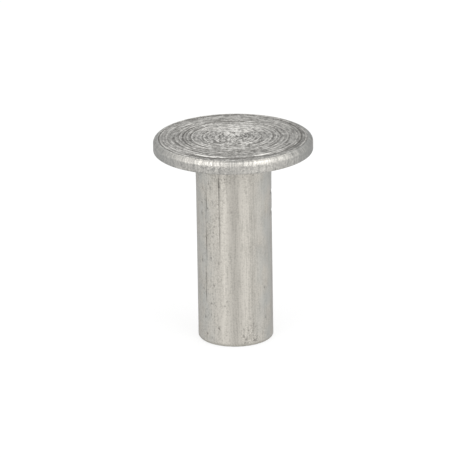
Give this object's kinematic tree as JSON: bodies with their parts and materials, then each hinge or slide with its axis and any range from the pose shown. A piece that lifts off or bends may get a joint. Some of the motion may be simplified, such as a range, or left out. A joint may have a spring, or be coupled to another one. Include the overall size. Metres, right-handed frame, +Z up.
{
  "type": "brake lining rivet",
  "caption": "Solid aluminium rivet with a wide flat round head marked by fine turned rings and a plain straight shank, for fixing a brake lining to its shoe.",
  "frame": {"origin": "centre of the bearing face under the head, on the axis of the shank", "axes": "+Z runs up the axis through the head, the shank points down -Z and the rivet stands on its flat tail end; +X and +Y are free round the axis"},
  "size_m": [0.0162, 0.0162, 0.0214],
  "materials": {
    "aluminium": "plain cold-headed aluminium, lengthwise drawn marks on the shank and turned rings on the head"
  },
  "bodies": {
    "root": {"rivet": "aluminium"}
  },
  "joints": []
}
